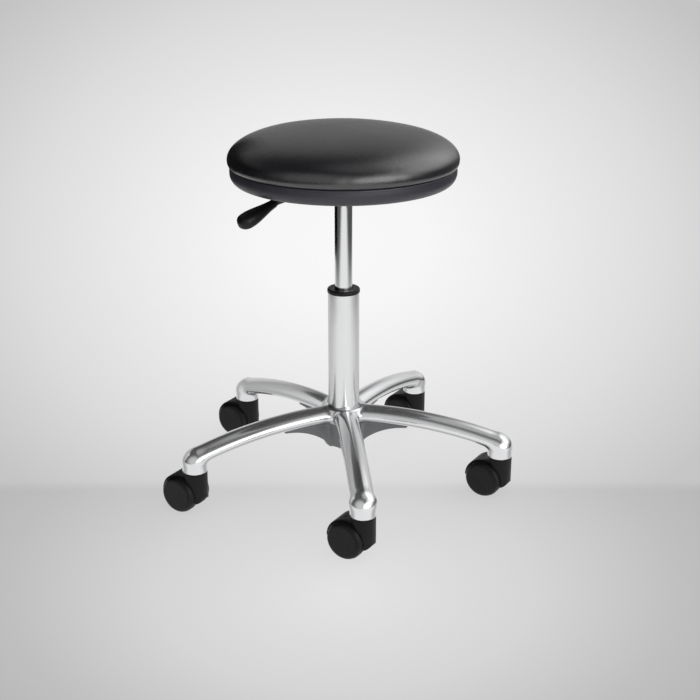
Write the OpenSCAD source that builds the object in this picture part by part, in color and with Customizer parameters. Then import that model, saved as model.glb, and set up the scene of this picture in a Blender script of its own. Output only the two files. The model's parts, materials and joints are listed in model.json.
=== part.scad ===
// Height-adjustable round stool on a five-star base with hooded casters.
// Millimetres. Z is up, the floor is z = 0, the column's axis is x = y = 0,
// and the first leg points along -Y.

/* [Seat] */

// Widest diameter of the padded seat
seat_diameter = 356; // [340:1:380]

// Height of the seat's underside, seat raised
seat_under_height = 511; // [505:1:517]

// Height of the crown above the widest line
crown_height = 51; // [40:1:60]

// Roundness of the crown, higher is boxier
crown_exponent = 2.3; // [2:0.1:3]

/* [Column] */

// Diameter of the polished column
column_diameter = 50; // [50]

// Height of the column's mouth
column_top = 331; // [320:1:336]

// Diameter of the gas spring's cylinder
spring_diameter = 28; // [28]

/* [Base] */

// Distance of each caster stem from the column's axis
stem_circle_radius = 258; // [245:1:275]

// Radius of the arc each leg follows
leg_arc_radius = 673; // [640:1:700]

// Height of the leg's centre line at the top of its arch
leg_apex_height = 126; // [122:1:128]

// Diameter of the round socket at the leg's end
socket_diameter = 40; // [36:1:42]

/* [Casters] */

// Wheel diameter over the tread
wheel_diameter = 60; // [60]

// Distance of the axle behind the stem
caster_trail = 20; // [18:1:22]

// Direction all the casters trail to, from +X towards +Y
trail_angle = 142; // [0:0.1:360]

/* [Lever] */

// Direction of the lever, from +X towards +Y
lever_angle = 212; // [195:0.5:225]

// Downward slope of the lever's straight part under the seat
rod_slope = 7.5; // [6:0.5:9]

// Downward slope of the lever's paddle
grip_slope = 21; // [18:0.5:24]

/* [Part] */

// Sub-part to draw, or all

/* [Hidden] */

$fn = 96;

// gap between two pieces that are pressed together
gap = 0.05;
// overshoot of a cutting tool past the face it cuts
over = 1;

// base casting
leg_count = 5;
leg_apex_offset = 49;
leg_round = 13.75;
leg_half_width = 18.6;
leg_wall = 6;
channel_half_width = 11;
channel_start = 62;
channel_end = 226;
hub_radius = 31;
hub_bottom = 72;
hub_top = 139;
hub_edge = 4;
rib_half_width = 7;
rib_arc_radius = 110;
rib_arc_x = 106;
rib_arc_z = -4;
rib_end = 104;
socket_radius = socket_diameter / 2;
socket_bottom = 69;
socket_dome_z = 84.5;
socket_bore_top = 98;
leg_arc_z = leg_apex_height - leg_arc_radius;

// column
column_radius = column_diameter / 2;
column_bore = 22.5;
column_bottom = 73;
column_foot_radius = 24;
bush_bottom = 262;
bush_top = 338;
bush_radius = 26;
bush_edge = 1.5;
plate_z = 79;
plate_thick = 4;
race_radius = 13;
race_thick = 2;
race_z = plate_z + plate_thick;
ball_radius = 2;
ball_circle = 9;
ball_count = 10;
ball_z = race_z + race_thick + gap + ball_radius;
upper_race_z = ball_z + ball_radius + gap;
rod_radius = 5;
rod_bottom = 75;
rod_top = 297;
clip_z = 77.1;
clip_thick = 1;
clip_radius = 8;
clip_groove = 4;
shoulder_radius = 7;
shoulder_z = upper_race_z + race_thick + gap;
shoulder_thick = 3;
bumper_z = shoulder_z + shoulder_thick + gap;
bumper_height = 25;
bumper_radius = 15;
piston_z = 283;
piston_height = 13;
ring_z = 288;
ring_height = 4;
ring_depth = 2;

// gas spring
spring_radius = spring_diameter / 2;
spring_bore = 12;
spring_bottom = 260;
spring_lip = 2;
spring_lip_bore = 9;
spring_head_z = 470;
spring_top = 497;
taper_z = 470;
taper_drop = 0.7;
guide_height = 14;
button_radius = 2.5;
button_bore = 2.6;
button_bore_z = 474;
button_z = 478;
button_shoulder = 499;
button_top = 500.1;

// seat mechanism
under_z = seat_under_height;
flange_thick = 2.5;
flange_z = under_z - flange_thick;
flange_half = 75;
flange_corner = 10;
dome_radius = 38;
dome_wall = 2.5;
dome_z = 489;
socket_tube_radius = 18;
socket_tube_z = 480;
notch_half = 5.6;
notch_z = 499;
screw_offset = 58;
screw_radius = 3;
screw_hole = 3.3;
screw_head = 5.8;
screw_head_height = 4;
screw_top = 522;
ear_inner = 4.6;
ear_thick = 3;
ear_start = 22;
ear_end = 34;
ear_top = 508;
pivot_r = 28;
pin_radius = 2;
pin_half = 8;

// lever
lever_z = under_z - 6.8;
lever_radius = 4;
lever_inner = -3.5;
bend_radius = 20;
bend_lap = 0.5;
first_bend_r = 60;
second_bend_r = 122;
grip_gap = 3;
grip_length = 67;
grip_neck_radius = 5.8;
grip_belly = 30;
grip_belly_radius = 14.2;
grip_tip_radius = 13.2;
grip_half_thick = 6.5;
grip_socket_end = 38;
// where the rod leaves its first bend, where it enters and leaves the second
first_out_r = first_bend_r + bend_radius * sin(rod_slope);
first_out_z = lever_z - bend_radius * (1 - cos(rod_slope));
second_z = first_out_z - (second_bend_r - first_out_r) * tan(rod_slope);
second_out_r = second_bend_r + bend_radius * (sin(grip_slope) - sin(rod_slope));
second_out_z = second_z - bend_radius * (cos(rod_slope) - cos(grip_slope));

// seat
seat_radius = seat_diameter / 2;
lining_thick = 0.5;
board_z = under_z + lining_thick + gap;
board_thick = 12;
board_radius = 164;
nut_flange = 9.5;
nut_flange_thick = 1.2;
nut_barrel = 3.9;
seam_z = under_z + 25.5;
wide_z = under_z + 33;
band_radius = seat_radius - 3.5;
band_corner = 10;
band_lip = 150;
seam_inset = 5.5;
cover_thick = 2.5;
foam_z = under_z + 14;
crown_steps = 28;

// caster
wheel_radius = wheel_diameter / 2;
hood_radius = 19.5;
hood_top = 68.2;
hood_bottom = 20;
hood_corner = 10;
fender_radius = 33;
fender_half = 17;
pocket_radius = 31;
pocket_start = 6.5;
slant_x = 6;
fender_end_angle = 0;
stem_radius = 5.45;
stem_top = 96;
stem_flange = 8;
stem_flange_z = 67.4;
stem_pin = 4;
stem_pin_z = 46;
stem_groove_z = 84;
stem_groove_height = 5;
stem_groove_radius = 4.4;
axle_radius = 3;
axle_half = 21;
axle_ring_radius = 3.5;
axle_ring_start = 16;
axle_ring_end = 17.5;
wheel_start = 7;
wheel_end = 26;
wheel_step = 19;
wheel_round = 6.5;
hub_outer = 8;
hub_end = 20;
tyre_inner = 26;
tyre_corner = 2;

function leg_angle(i) = -90 + i * 360 / leg_count;
function stem_x(i) = stem_circle_radius * cos(leg_angle(i));
function stem_y(i) = stem_circle_radius * sin(leg_angle(i));
function taper_radius(z) = spring_radius - taper_drop * (z - taper_z) / (spring_top - taper_z);

// quarter of a superellipse, from the widest point up to the pole
function crown(a, b, z0) = [
  for (i = [0 : crown_steps])
    let (t = 90 * i / crown_steps)
    [a * pow(cos(t), 2 / crown_exponent), z0 + b * pow(sin(t), 2 / crown_exponent)]
];

// quarter circle of points about a centre, radius r, from angle a0 to a1
function arc(cx, cy, r, a0, a1, n) = [
  for (i = [0 : n])
    let (t = a0 + (a1 - a0) * i / n)
    [cx + r * cos(t), cy + r * sin(t)]
];

module ring(r_out, r_in, z0, h) {
  translate([0, 0, z0])
    difference() {
      cylinder(r = r_out, h = h);
      translate([0, 0, -over]) cylinder(r = r_in, h = h + 2 * over);
    }
}

// lay a side-view outline (x along the piece, y up) into the XZ plane, centred on y
module side_plate(half) {
  translate([0, half, 0]) rotate([90, 0, 0]) linear_extrude(height = 2 * half) children();
}

module at_legs() {
  for (i = [0 : leg_count - 1]) rotate([0, 0, leg_angle(i)]) children();
}

module at_stems() {
  for (i = [0 : leg_count - 1]) translate([stem_x(i), stem_y(i), 0]) children();
}

module at_screws() {
  for (x = [-1, 1]) for (y = [-1, 1])
    translate([x * screw_offset, y * screw_offset, 0]) children();
}

// sweep a section along the leg's arch between two distances from the column
module along_leg(r0, r1) {
  a0 = acos((r1 - leg_apex_offset) / leg_arc_radius);
  a1 = acos((r0 - leg_apex_offset) / leg_arc_radius);
  translate([leg_apex_offset, 0, leg_arc_z])
    rotate([90, 0, 0])
      rotate_extrude(angle = a1 - a0, start = a0, $fn = 360) children();
}

module leg_section() {
  side = leg_half_width - leg_round;
  translate([leg_arc_radius, side]) circle(r = leg_round);
  translate([leg_arc_radius, -side]) circle(r = leg_round);
  translate([leg_arc_radius - leg_round, -side]) square([2 * leg_round, 2 * side]);
}

module rib() {
  side_plate(rib_half_width)
    difference() {
      translate([column_radius, hub_bottom]) square([rib_end - column_radius, 40]);
      translate([rib_arc_x, rib_arc_z]) circle(r = rib_arc_radius, $fn = 240);
    }
}

module socket() {
  rotate_extrude()
    union() {
      translate([0, socket_bottom]) square([socket_radius, socket_dome_z - socket_bottom]);
      intersection() {
        translate([0, socket_dome_z]) circle(r = socket_radius);
        translate([0, socket_dome_z]) square(socket_radius);
      }
    }
}

module star_base() {
  color([0.82, 0.83, 0.84])
    difference() {
      union() {
        translate([0, 0, hub_bottom]) cylinder(r = hub_radius, h = hub_top - hub_edge - hub_bottom);
        translate([0, 0, hub_top - hub_edge])
          cylinder(r1 = hub_radius, r2 = hub_radius - hub_edge, h = hub_edge);
        at_legs() {
          difference() {
            along_leg(column_radius + 1, stem_circle_radius - 4) leg_section();
            along_leg(channel_start, channel_end)
              translate([leg_arc_radius - leg_round - leg_wall, -channel_half_width])
                square([2 * leg_round, 2 * channel_half_width]);
          }
          rib();
          translate([stem_circle_radius, 0, 0]) socket();
        }
      }
      translate([0, 0, hub_bottom - over])
        cylinder(r1 = column_foot_radius + gap - 0.015, r2 = column_radius + gap + 0.015,
                 h = hub_top - hub_bottom + 2 * over);
      at_stems() translate([0, 0, socket_bottom - over])
        cylinder(r = stem_radius + gap, h = socket_bore_top - socket_bottom + over);
    }
}

module column_tube() {
  color([0.84, 0.85, 0.86])
    difference() {
      union() {
        translate([0, 0, column_bottom])
          cylinder(r1 = column_foot_radius, r2 = column_radius, h = hub_top - column_bottom);
        translate([0, 0, hub_top]) cylinder(r = column_radius, h = column_top - hub_top);
      }
      translate([0, 0, column_bottom - over])
        cylinder(r = column_bore, h = column_top - column_bottom + 2 * over);
    }
}

module guide_bush() {
  color([0.06, 0.06, 0.07])
    rotate_extrude()
      polygon([
        [spring_radius + gap, bush_bottom],
        [column_bore - gap, bush_bottom],
        [column_bore - gap, column_top + gap],
        [bush_radius, column_top + gap],
        [bush_radius, bush_top - bush_edge],
        [bush_radius - bush_edge, bush_top],
        [spring_radius + gap + bush_edge, bush_top],
        [spring_radius + gap, bush_top - bush_edge]
      ]);
}

module column_plate() {
  color([0.45, 0.45, 0.47]) ring(column_bore - gap, rod_radius + gap, plate_z, plate_thick);
}

module lower_race() {
  color([0.6, 0.6, 0.62]) ring(race_radius, rod_radius + gap, race_z, race_thick);
}

module upper_race() {
  color([0.6, 0.6, 0.62]) ring(race_radius, rod_radius + gap, upper_race_z, race_thick);
}

module thrust_balls() {
  color([0.75, 0.75, 0.77])
    for (i = [0 : ball_count - 1])
      rotate([0, 0, i * 360 / ball_count])
        translate([ball_circle, 0, ball_z]) sphere(r = ball_radius, $fn = 32);
}

module rod_clip() {
  color([0.3, 0.3, 0.32])
    difference() {
      ring(clip_radius, clip_groove + gap, clip_z, clip_thick);
      translate([clip_groove, -clip_groove / 2, clip_z - over])
        cube([clip_radius, clip_groove, clip_thick + 2 * over]);
    }
}

module rubber_bumper() {
  color([0.08, 0.08, 0.08]) ring(bumper_radius, rod_radius + gap, bumper_z, bumper_height);
}

module piston_rod() {
  color([0.7, 0.7, 0.72])
    difference() {
      union() {
        translate([0, 0, rod_bottom]) cylinder(r = rod_radius, h = rod_top - rod_bottom);
        translate([0, 0, shoulder_z]) cylinder(r = shoulder_radius, h = shoulder_thick);
      }
      ring(rod_radius + over, clip_groove, clip_z - gap, clip_thick + 2 * gap);
    }
}

module piston() {
  color([0.5, 0.5, 0.52])
    difference() {
      ring(spring_bore - 0.07, rod_radius + gap, piston_z, piston_height);
      ring(spring_bore + over, spring_bore - ring_depth, ring_z, ring_height);
    }
}

module piston_ring() {
  color([0.15, 0.12, 0.1])
    ring(spring_bore - 0.04, spring_bore - ring_depth + gap, ring_z + gap, ring_height - 2 * gap);
}

module gas_cylinder() {
  color([0.86, 0.87, 0.88])
    difference() {
      union() {
        translate([0, 0, spring_bottom])
          cylinder(r = spring_radius, h = taper_z - spring_bottom);
        translate([0, 0, taper_z])
          cylinder(r1 = spring_radius, r2 = taper_radius(spring_top), h = spring_top - taper_z);
      }
      translate([0, 0, spring_bottom + spring_lip])
        cylinder(r = spring_bore, h = spring_head_z - spring_bottom - spring_lip);
      translate([0, 0, spring_bottom - over])
        cylinder(r = spring_lip_bore, h = spring_lip + 2 * over);
      translate([0, 0, button_bore_z])
        cylinder(r = button_bore, h = spring_top - button_bore_z + over);
    }
}

module rod_guide() {
  color([0.12, 0.12, 0.13])
    ring(spring_bore - gap, rod_radius + gap, spring_bottom + spring_lip + gap, guide_height);
}

module release_button() {
  color([0.55, 0.55, 0.57]) {
    translate([0, 0, button_z]) cylinder(r = button_radius, h = button_shoulder - button_z);
    translate([0, 0, button_shoulder])
      intersection() {
        translate([0, 0, button_top - button_shoulder - 3.4]) sphere(r = 3.4);
        cylinder(r = button_radius, h = button_top - button_shoulder + over);
      }
  }
}

module taper_socket() {
  color([0.1, 0.1, 0.11])
    difference() {
      translate([0, 0, socket_tube_z])
        cylinder(r = socket_tube_radius, h = spring_top - socket_tube_z);
      translate([0, 0, socket_tube_z - over])
        cylinder(r1 = taper_radius(socket_tube_z - over) + gap, r2 = taper_radius(spring_top + over) + gap,
                 h = spring_top - socket_tube_z + 2 * over);
    }
}

module rounded_square(half, r) {
  square([2 * half, 2 * (half - r)], center = true);
  square([2 * (half - r), 2 * half], center = true);
  for (x = [-1, 1]) for (y = [-1, 1])
    translate([x * (half - r), y * (half - r)]) circle(r = r);
}

module seat_plate() {
  color([0.1, 0.1, 0.11])
    difference() {
      union() {
        translate([0, 0, flange_z]) linear_extrude(height = flange_thick)
          rounded_square(flange_half, flange_corner);
        translate([0, 0, dome_z]) cylinder(r = dome_radius, h = flange_z - dome_z + over);
      }
      translate([0, 0, dome_z + dome_wall])
        cylinder(r = dome_radius - dome_wall, h = under_z - dome_z);
      translate([0, 0, dome_z - over])
        cylinder(r = socket_tube_radius + gap, h = dome_wall + 2 * over);
      rotate([0, 0, lever_angle])
        translate([dome_radius - 2 * dome_wall, -notch_half, notch_z])
          cube([2 * flange_half, 2 * notch_half, under_z]);
      at_screws() translate([0, 0, flange_z - over])
        cylinder(r = screw_hole, h = flange_thick + 2 * over);
    }
}

module lever_bracket() {
  foot = dome_z + dome_wall + gap;
  color([0.2, 0.2, 0.22])
    rotate([0, 0, lever_angle])
      difference() {
        for (s = [-1, 1])
          translate([ear_start, s * (ear_inner + ear_thick / 2) - ear_thick / 2, foot])
            cube([ear_end - ear_start, ear_thick, ear_top - foot]);
        translate([pivot_r, pin_half + over, lever_z]) rotate([90, 0, 0])
          cylinder(r = pin_radius + 0.02, h = 2 * (pin_half + over), $fn = 48);
      }
}

module lever_pin() {
  color([0.6, 0.6, 0.62])
    rotate([0, 0, lever_angle])
      translate([pivot_r, pin_half, lever_z]) rotate([90, 0, 0])
        cylinder(r = pin_radius, h = 2 * pin_half, $fn = 48);
}

// bent piece of rod that starts at [r, z] sloping a0 and ends sloping a1
module rod_bend(r, z, a0, a1) {
  translate([r - bend_radius * sin(a0), 0, z - bend_radius * cos(a0)])
    rotate([90, 0, 0])
      rotate_extrude(angle = a1 - a0, start = 90 - a1)
        translate([bend_radius, 0]) circle(r = lever_radius + 0.06, $fn = 48);
}

// straight piece of rod from [r, z], a given slope and length, lapping both its neighbours
module rod_run(r, z, slope, length) {
  translate([r, 0, z]) rotate([0, 90 + slope, 0])
    translate([0, 0, -bend_lap]) cylinder(r = lever_radius, h = length + 2 * bend_lap, $fn = 48);
}

module lever_rod() {
  color([0.15, 0.15, 0.16])
    rotate([0, 0, lever_angle])
      difference() {
        union() {
          rod_run(lever_inner, lever_z, 0, first_bend_r - lever_inner);
          rod_bend(first_bend_r, lever_z, 0, rod_slope);
          rod_run(first_out_r, first_out_z, rod_slope, (second_bend_r - first_out_r) / cos(rod_slope));
          rod_bend(second_bend_r, second_z, rod_slope, grip_slope);
          rod_run(second_out_r, second_out_z, grip_slope, grip_gap + grip_socket_end);
        }
        translate([pivot_r, pin_half, lever_z]) rotate([90, 0, 0])
          cylinder(r = pin_radius + gap, h = 2 * pin_half, $fn = 48);
      }
}

// outline round the paddle's neck, belly and tip, along x from 0
module grip_outline() {
  tip = grip_length - grip_tip_radius;
  flare = asin((grip_belly_radius - grip_neck_radius) / (grip_belly - grip_neck_radius));
  taper = asin((grip_tip_radius - grip_belly_radius) / (tip - grip_belly));
  polygon(concat(
    arc(grip_neck_radius, 0, grip_neck_radius, 90 + flare, 270 - flare, 16),
    arc(grip_belly, 0, grip_belly_radius, -90 - flare, -90 - taper, 8),
    arc(tip, 0, grip_tip_radius, -90 - taper, 90 + taper, 32),
    arc(grip_belly, 0, grip_belly_radius, 90 + taper, 90 + flare, 8)
  ));
}

module lever_grip() {
  bore = grip_socket_end + bend_lap + gap;
  color([0.05, 0.05, 0.055])
    rotate([0, 0, lever_angle])
      translate([second_out_r, 0, second_out_z]) rotate([0, grip_slope, 0])
        translate([grip_gap, 0, 0])
          difference() {
            translate([0, 0, -grip_half_thick])
              linear_extrude(height = 2 * grip_half_thick) grip_outline();
            translate([-over, 0, 0]) rotate([0, 90, 0])
              cylinder(r = lever_radius + gap, h = bore + over, $fn = 48);
          }
}

module plate_screws() {
  color([0.35, 0.35, 0.37])
    at_screws() {
      translate([0, 0, flange_z - screw_head_height - gap])
        cylinder(r = screw_head, h = screw_head_height, $fn = 6);
      translate([0, 0, flange_z - 2 * gap])
        cylinder(r = screw_radius, h = screw_top - flange_z, $fn = 48);
    }
}

module seat_board() {
  color([0.72, 0.56, 0.38])
    difference() {
      translate([0, 0, board_z]) cylinder(r = board_radius, h = board_thick, $fn = 180);
      at_screws() translate([0, 0, board_z - over])
        cylinder(r = nut_barrel + gap, h = board_thick + 2 * over, $fn = 48);
    }
}

module tee_nuts() {
  top = board_z + board_thick + gap;
  color([0.62, 0.62, 0.6])
    at_screws()
      difference() {
        union() {
          translate([0, 0, board_z + over]) cylinder(r = nut_barrel, h = board_thick, $fn = 48);
          translate([0, 0, top]) cylinder(r = nut_flange, h = nut_flange_thick, $fn = 48);
        }
        translate([0, 0, board_z]) cylinder(r = screw_radius + gap, h = 2 * board_thick, $fn = 48);
      }
}

module seat_foam() {
  a = seat_radius - cover_thick - gap;
  b = crown_height - cover_thick - gap;
  neck = board_radius - gap;
  color([0.85, 0.82, 0.7])
    rotate_extrude($fn = 180)
      polygon(concat(
        [[0, foam_z], [neck, foam_z], [neck, seam_z + gap]],
        [[seat_radius - seam_inset - cover_thick, seam_z + gap]],
        crown(a, b, wide_z)
      ));
}

module seat_cover() {
  a = seat_radius - cover_thick;
  b = crown_height - cover_thick;
  edge = seat_radius - seam_inset;
  inner = crown(a, b, wide_z);
  color([0.05, 0.05, 0.055])
    rotate_extrude($fn = 180)
      difference() {
        polygon(concat(
          [[0, seam_z], [edge, seam_z]],
          [[seat_radius - 2.6, seam_z + 2.2], [seat_radius - 0.7, seam_z + 4.6]],
          crown(seat_radius, crown_height, wide_z)
        ));
        polygon(concat([[0, seam_z - over], [edge - cover_thick + gap, seam_z - over]], inner));
      }
}

module seat_band() {
  color([0.09, 0.085, 0.1])
    rotate_extrude($fn = 180)
      polygon(concat(
        [[band_lip, under_z], [band_radius - band_corner, under_z]],
        arc(band_radius - band_corner, under_z + band_corner, band_corner, -80, 0, 8),
        [[band_radius, seam_z - 6], [band_radius - 1.8, seam_z - gap]],
        [[board_radius + gap, seam_z - gap], [board_radius + gap, under_z + lining_thick]],
        [[band_lip, under_z + lining_thick]]
      ));
}

module under_cover() {
  color([0.07, 0.07, 0.07])
    difference() {
      translate([0, 0, under_z + gap])
        cylinder(r = band_lip - gap, h = lining_thick - gap, $fn = 180);
      at_screws() translate([0, 0, under_z - over])
        cylinder(r = nut_barrel + gap, h = 2 * over, $fn = 48);
    }
}

module caster_stems() {
  color([0.6, 0.6, 0.62])
    at_stems()
      difference() {
        union() {
          translate([0, 0, stem_pin_z])
            cylinder(r = stem_pin, h = stem_flange_z - stem_pin_z + over, $fn = 48);
          translate([0, 0, stem_flange_z])
            cylinder(r = stem_flange, h = socket_bottom - gap - stem_flange_z, $fn = 48);
          translate([0, 0, socket_bottom - over])
            cylinder(r = stem_radius, h = stem_top - socket_bottom + over, $fn = 48);
        }
        ring(stem_radius + over, stem_groove_radius, stem_groove_z, stem_groove_height);
      }
}

module grip_rings() {
  color([0.4, 0.4, 0.42])
    at_stems()
      difference() {
        ring(stem_radius, stem_groove_radius + gap, stem_groove_z + gap, stem_groove_height - 2 * gap);
        translate([0, -0.75, stem_groove_z]) cube([stem_radius + over, 1.5, stem_groove_height]);
      }
}

// place a caster, its x axis along the trail
module at_caster(k) {
  translate([stem_x(k - 1), stem_y(k - 1), 0]) rotate([0, 0, trail_angle]) children();
}

// side outline of the hood: back wall, slanted top and fender
module hood_side() {
  tangent = acos(fender_radius / norm([slant_x - caster_trail, hood_top - wheel_radius]));
  lean = atan2(hood_top - wheel_radius, slant_x - caster_trail) - tangent;
  touch = [caster_trail + fender_radius * cos(lean), wheel_radius + fender_radius * sin(lean)];
  reach = 2 * fender_radius;
  polygon(concat(
    [[slant_x, hood_top], [-hood_radius, hood_top]],
    arc(hood_corner - hood_radius, hood_bottom + hood_corner, hood_corner, 180, 270, 8),
    [[caster_trail, hood_bottom], [caster_trail, wheel_radius], touch]
  ));
  intersection() {
    translate([caster_trail, wheel_radius]) circle(r = fender_radius, $fn = 120);
    translate([caster_trail, wheel_radius])
      polygon([
        [0, 0],
        [reach * cos(fender_end_angle), reach * sin(fender_end_angle)],
        [reach, reach],
        [-reach, reach],
        [-reach, 0]
      ]);
  }
}

module web_side() {
  translate([caster_trail, wheel_radius]) circle(r = 12, $fn = 64);
  translate([0, hood_bottom]) square([caster_trail, pocket_radius]);
}

module caster_hood(k) {
  color([0.06, 0.06, 0.065])
    at_caster(k)
      difference() {
        union() {
          difference() {
            intersection() {
              side_plate(hood_radius) hood_side();
              union() {
                cylinder(r = hood_radius, h = hood_top + over);
                translate([0, -fender_half, 0])
                  cube([caster_trail + 2 * fender_radius, 2 * fender_half, hood_top + over]);
              }
            }
            for (s = [-1, 1])
              translate([caster_trail, s * (pocket_start + hood_radius), wheel_radius])
                rotate([90, 0, 0])
                  cylinder(r = pocket_radius, h = 2 * hood_radius, center = true, $fn = 120);
          }
          side_plate(pocket_start) web_side();
        }
        translate([caster_trail, hood_radius, wheel_radius]) rotate([90, 0, 0])
          cylinder(r = axle_radius + 0.02, h = 2 * hood_radius, $fn = 48);
        translate([0, 0, stem_pin_z - gap])
          cylinder(r = stem_pin + gap, h = hood_top - stem_pin_z + over, $fn = 48);
        translate([0, 0, stem_flange_z - 0.1])
          cylinder(r = stem_flange + 0.3, h = hood_top, $fn = 48);
      }
}

module caster_axle(k) {
  color([0.6, 0.6, 0.62])
    at_caster(k)
      translate([caster_trail, 0, wheel_radius]) rotate([90, 0, 0]) {
        translate([0, 0, -axle_half]) cylinder(r = axle_radius, h = 2 * axle_half, $fn = 48);
        for (s = [-1, 1])
          translate([0, 0, s * (axle_ring_start + axle_ring_end) / 2])
            cylinder(r = axle_ring_radius, h = axle_ring_end - axle_ring_start, center = true, $fn = 48);
      }
}

// turn a wheel outline, x away from the axle and y outwards, onto one end of the axle
module at_wheel(k, s) {
  at_caster(k)
    translate([caster_trail, 0, wheel_radius]) rotate([-90 * s, 0, 0]) rotate_extrude() children();
}

module wheel_outline() {
  face = wheel_radius - 0.4;
  difference() {
    union() {
      translate([0, wheel_start]) square([hub_outer, hub_end - wheel_start]);
      translate([0, hub_end - 1]) square([tyre_inner - gap, wheel_end - hub_end - 1]);
      translate([tyre_inner - 4, wheel_start + 1]) square([4 - gap, hub_end - wheel_start - 1]);
      translate([0, wheel_step + gap]) square([face - wheel_round, wheel_end - wheel_step - gap]);
      intersection() {
        translate([face - wheel_round, wheel_step + gap]) circle(r = wheel_round - gap);
        translate([face - wheel_round - over, wheel_step + gap]) square(2 * wheel_round);
      }
    }
    translate([-over, wheel_start - over])
      square([axle_radius + gap + over, axle_half + gap - wheel_start + over]);
    translate([-over, axle_ring_start - 0.1])
      square([axle_ring_radius + 0.1 + over, axle_ring_end - axle_ring_start + 0.2]);
  }
}

module tyre_outline() {
  translate([tyre_inner, wheel_start + 0.5])
    square([wheel_radius - tyre_inner - tyre_corner, wheel_step - wheel_start - 0.5]);
  translate([tyre_inner, wheel_start + 0.5 + tyre_corner])
    square([wheel_radius - tyre_inner, wheel_step - wheel_start - 0.5 - tyre_corner]);
  translate([wheel_radius - tyre_corner, wheel_start + 0.5 + tyre_corner]) circle(r = tyre_corner);
}

module wheel(k, s) {
  color([0.08, 0.08, 0.085]) at_wheel(k, s) wheel_outline();
}

module tyre(k, s) {
  color([0.04, 0.04, 0.045]) at_wheel(k, s) tyre_outline();
}

star_base();
column_tube();
guide_bush();
column_plate();
lower_race();
thrust_balls();
caster_stems();
grip_rings();
upper_race();
piston_rod();
piston();
piston_ring();
rod_clip();
rubber_bumper();
gas_cylinder();
rod_guide();
taper_socket();
seat_plate();
lever_bracket();
lever_pin();
plate_screws();
seat_board();
tee_nuts();
seat_foam();
seat_cover();
seat_band();
under_cover();
lever_rod();
lever_grip();
release_button();
caster_hood(1);  // caster_hood_1
caster_axle(1);  // caster_axle_1
wheel(1, 1);  // wheel_a_1
tyre(1, 1);  // tyre_a_1
wheel(1, -1);  // wheel_b_1
tyre(1, -1);  // tyre_b_1
caster_hood(2);  // caster_hood_2
caster_axle(2);  // caster_axle_2
wheel(2, 1);  // wheel_a_2
tyre(2, 1);  // tyre_a_2
wheel(2, -1);  // wheel_b_2
tyre(2, -1);  // tyre_b_2
caster_hood(3);  // caster_hood_3
caster_axle(3);  // caster_axle_3
wheel(3, 1);  // wheel_a_3
tyre(3, 1);  // tyre_a_3
wheel(3, -1);  // wheel_b_3
tyre(3, -1);  // tyre_b_3
caster_hood(4);  // caster_hood_4
caster_axle(4);  // caster_axle_4
wheel(4, 1);  // wheel_a_4
tyre(4, 1);  // tyre_a_4
wheel(4, -1);  // wheel_b_4
tyre(4, -1);  // tyre_b_4
caster_hood(5);  // caster_hood_5
caster_axle(5);  // caster_axle_5
wheel(5, 1);  // wheel_a_5
tyre(5, 1);  // tyre_a_5
wheel(5, -1);  // wheel_b_5
tyre(5, -1);  // tyre_b_5
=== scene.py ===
"""Looks of the height-adjustable round stool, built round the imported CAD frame."""

import json
import math

import bmesh
import bpy
import numpy as np
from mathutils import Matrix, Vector


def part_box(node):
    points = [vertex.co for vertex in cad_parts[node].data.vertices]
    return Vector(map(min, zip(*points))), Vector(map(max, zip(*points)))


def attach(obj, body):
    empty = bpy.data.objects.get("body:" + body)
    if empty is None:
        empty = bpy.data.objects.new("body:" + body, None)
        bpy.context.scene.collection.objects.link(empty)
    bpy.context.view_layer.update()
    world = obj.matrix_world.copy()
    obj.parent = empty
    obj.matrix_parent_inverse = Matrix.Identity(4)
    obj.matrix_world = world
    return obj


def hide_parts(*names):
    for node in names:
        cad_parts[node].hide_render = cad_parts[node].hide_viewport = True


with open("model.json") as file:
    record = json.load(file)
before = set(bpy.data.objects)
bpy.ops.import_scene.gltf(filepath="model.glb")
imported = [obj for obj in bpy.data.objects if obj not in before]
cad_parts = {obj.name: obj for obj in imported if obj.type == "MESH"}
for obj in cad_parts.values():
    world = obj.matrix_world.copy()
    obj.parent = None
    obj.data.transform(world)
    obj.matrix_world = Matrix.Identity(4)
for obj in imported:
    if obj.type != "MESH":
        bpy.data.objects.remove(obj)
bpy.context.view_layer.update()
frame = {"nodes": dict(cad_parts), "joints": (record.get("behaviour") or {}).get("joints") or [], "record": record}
MM = 0.001
joints = {j["name"]: j for j in frame["joints"]}


# ---------------------------------------------------------------- materials

def new_material(name):
    """A material, its node tree and its Principled node."""
    m = bpy.data.materials.new(name)
    m.use_nodes = True
    nt = m.node_tree
    return m, nt, nt.nodes["Principled BSDF"]


def add(nt, kind, **values):
    """A node with the given input values and settings."""
    n = nt.nodes.new(kind)
    for k, v in values.items():
        if k in n.inputs:
            n.inputs[k].default_value = v
        else:
            setattr(n, k, v)
    return n


def coords(nt, scale=(1, 1, 1)):
    tc = nt.nodes.new("ShaderNodeTexCoord")
    mp = nt.nodes.new("ShaderNodeMapping")
    mp.inputs["Scale"].default_value = scale
    nt.links.new(tc.outputs["Object"], mp.inputs["Vector"])
    return mp.outputs["Vector"]


def noise(nt, vector, scale, detail=3.0, rough=0.5):
    n = add(nt, "ShaderNodeTexNoise", Scale=scale, Detail=detail, Roughness=rough)
    nt.links.new(vector, n.inputs["Vector"])
    return n.outputs["Fac"]


def ramp(nt, fac, *stops):
    """Colour ramp through (position, grey or colour) stops."""
    r = nt.nodes.new("ShaderNodeValToRGB")
    e = r.color_ramp.elements
    while len(e) < len(stops):
        e.new(0.5)
    for el, (pos, col) in zip(e, stops):
        el.position = pos
        el.color = (col, col, col, 1) if isinstance(col, (int, float)) else (*col, 1)
    nt.links.new(fac, r.inputs["Fac"])
    return r.outputs["Color"]


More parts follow.
